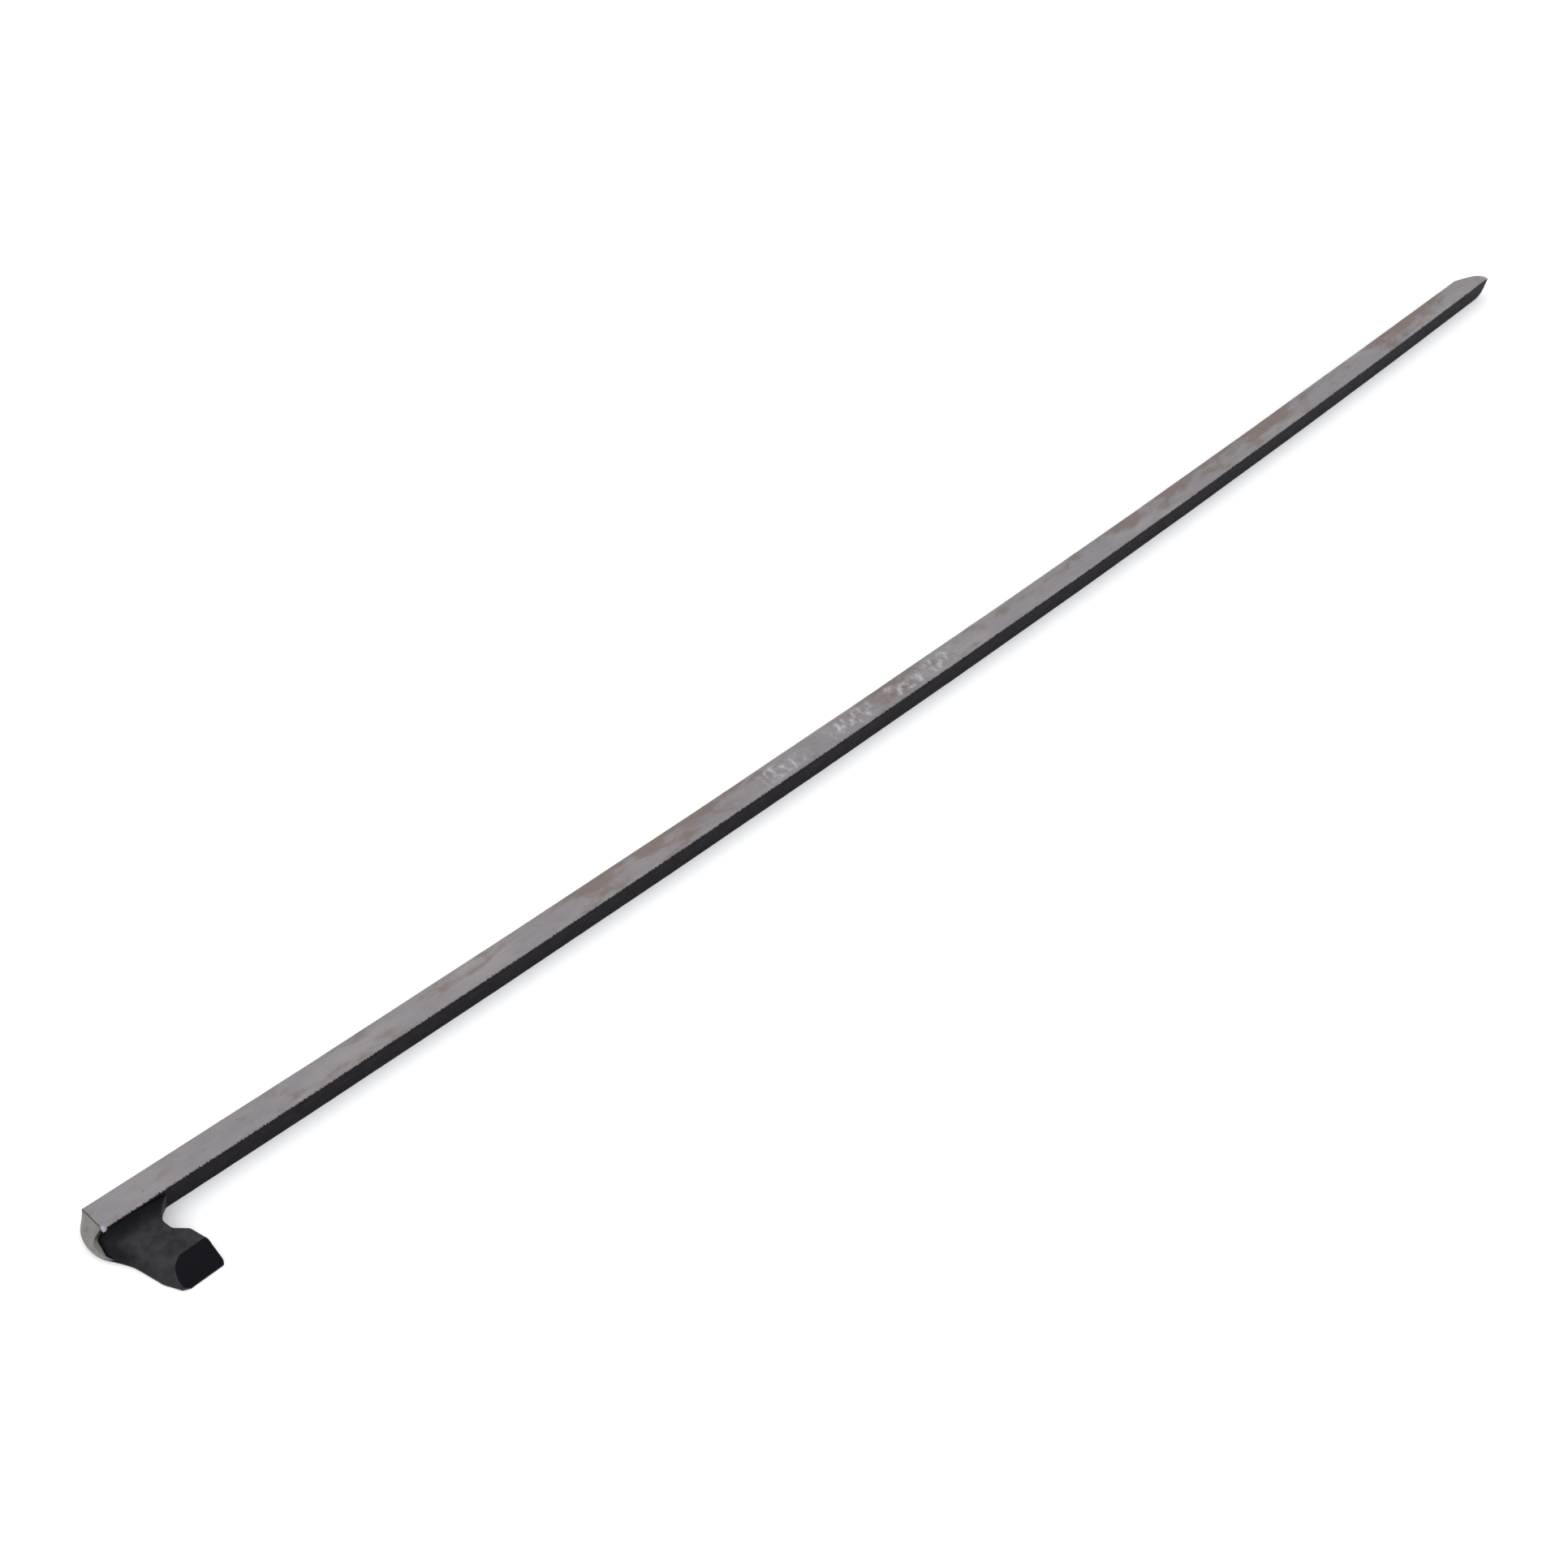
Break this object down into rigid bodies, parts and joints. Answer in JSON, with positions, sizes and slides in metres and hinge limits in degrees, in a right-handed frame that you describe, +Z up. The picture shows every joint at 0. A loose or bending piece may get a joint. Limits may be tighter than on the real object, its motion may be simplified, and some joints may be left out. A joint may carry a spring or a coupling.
{
  "type": "rail spike",
  "caption": "Long slender square-bar rail spike with a four-sided point at one end and a black hooked side nose at its head.",
  "frame": {"origin": "middle of the spike's footprint on the surface it lies on, at that surface", "axes": "+X along the shank from the head to the point, -Y the side that the nose sticks out on, +Z up off the surface that the spike lies on"},
  "size_m": [0.8046, 0.0372, 0.01],
  "materials": {
    "bright_bar": "satin drawn steel with brown stains and black scale on the nose side",
    "bright_heel": "ground steel",
    "black_forging": "satin black forging scale",
    "black_weld": "satin black scale"
  },
  "bodies": {
    "root": {"shank": "bright_bar", "heel_cap": "bright_heel", "nose": "black_forging", "throat_weld": "black_weld", "root_weld": "black_weld"}
  },
  "joints": []
}
